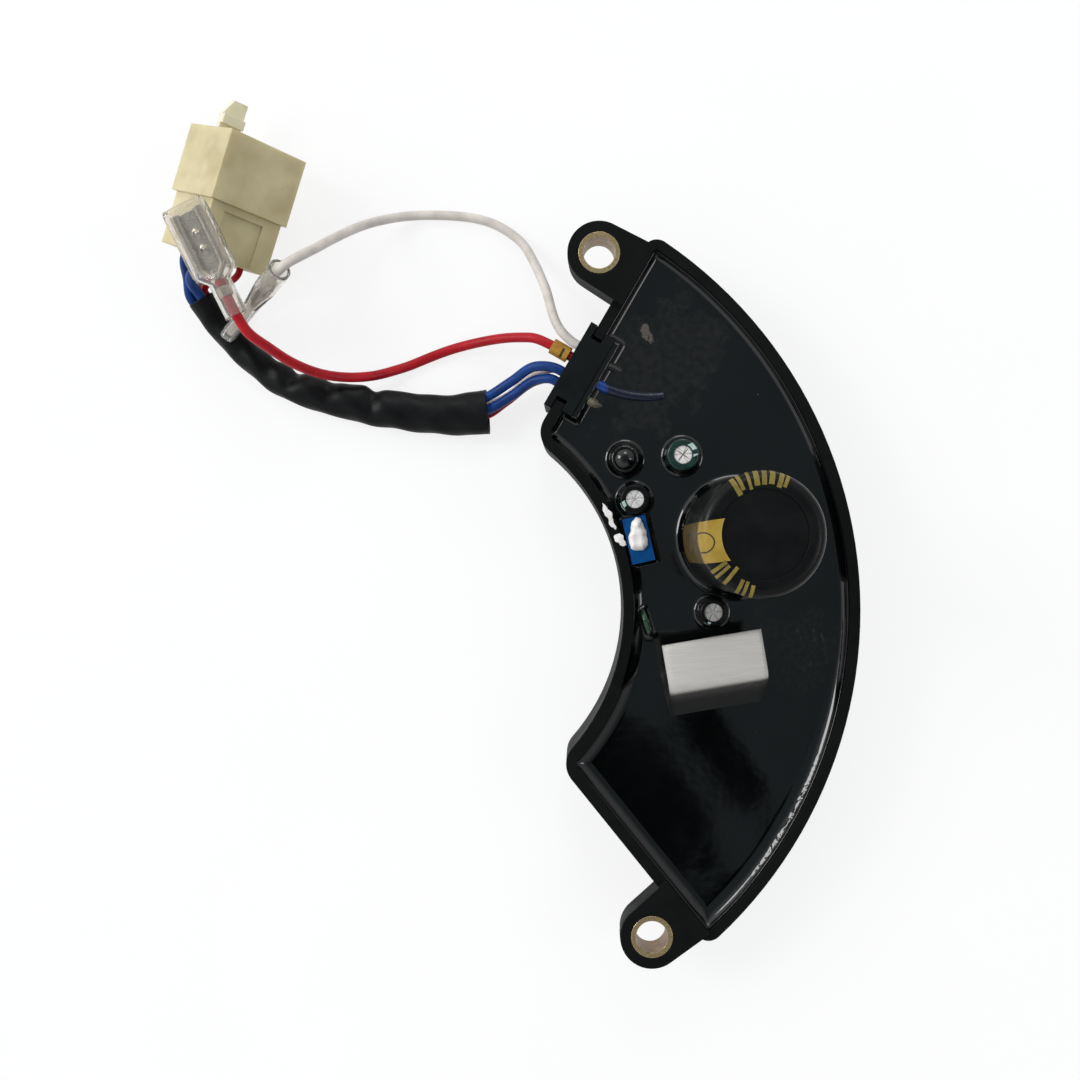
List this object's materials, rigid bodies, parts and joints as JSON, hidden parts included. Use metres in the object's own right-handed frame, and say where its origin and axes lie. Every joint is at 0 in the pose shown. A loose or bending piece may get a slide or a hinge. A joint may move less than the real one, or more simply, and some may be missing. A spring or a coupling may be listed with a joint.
{
  "type": "automatic voltage regulator",
  "caption": "Crescent tray cast in black resin with bushed ears, tall capacitor, trimmer, bent heat sink, wire gland and leads to a plug and push-on terminals; steadies a generator's voltage.",
  "frame": {"origin": "midway between the two fixing holes, on the plane of the ears' underside", "axes": "+Y along the line of the fixing holes toward the ear beside the gland, +X toward the outer arc, +Z out of the resin along the fixing screws"},
  "size_m": [0.1387, 0.1872, 0.0509],
  "materials": {
    "moulding": "fine matte moulded black",
    "gland": "matte black",
    "brass": "turned",
    "board": "lacquered",
    "resin": "glossy poured black",
    "can": "drawn",
    "black_sleeve": "satin shrink film",
    "green_sleeve": "satin shrink film",
    "blue_case": "satin",
    "seal": "soft white paste",
    "green_coat": "dipped",
    "sheet": "mill finish",
    "package": "moulded",
    "screw_steel": "plated",
    "resistor_coat": "lacquered",
    "white_cover": "satin",
    "red_cover": "satin",
    "blue_cover": "satin",
    "yellow_tube": "satin",
    "harness": "wrinkled sleeve",
    "nylon": "natural moulded",
    "tin": "tinned",
    "clear": "clear soft vinyl"
  },
  "bodies": {
    "root": {"housing": "moulding", "upper_bush": "brass", "lower_bush": "brass", "wire_gland": "gland", "circuit_board": "board", "potting_resin": "resin", "main_capacitor_can": "can", "main_capacitor_disc": "black_sleeve", "main_capacitor_sleeve": "black_sleeve", "green_capacitor_can": "can", "green_capacitor_sleeve": "green_sleeve", "black_capacitor_can": "can", "black_capacitor_sleeve": "black_sleeve", "lower_capacitor_can": "can", "lower_capacitor_sleeve": "black_sleeve", "coated_capacitor": "resin", "trimmer_body": "blue_case", "trimmer_screw": "brass", "trimmer_seal": "seal", "film_capacitor": "green_coat", "heat_sink": "sheet", "power_transistor": "package", "transistor_screw": "screw_steel", "rectifier_diodes": "package", "resistors": "resistor_coat", "control_chip": "package", "inner_blue_lead": "blue_cover", "inner_white_leads": "white_cover", "white_lead": "white_cover", "red_lead": "red_cover", "lead_marker": "yellow_tube", "blue_lead_a": "blue_cover", "blue_lead_b": "blue_cover", "thin_red_lead": "red_cover", "thin_white_lead": "white_cover", "harness_sleeve": "harness", "blue_tails": "blue_cover", "thin_red_tail": "red_cover", "thin_white_tail": "white_cover", "connector_housing": "nylon", "connector_contacts": "tin", "red_terminal": "tin", "red_terminal_cover": "clear", "white_terminal": "tin", "white_terminal_cover": "clear"}
  },
  "joints": []
}
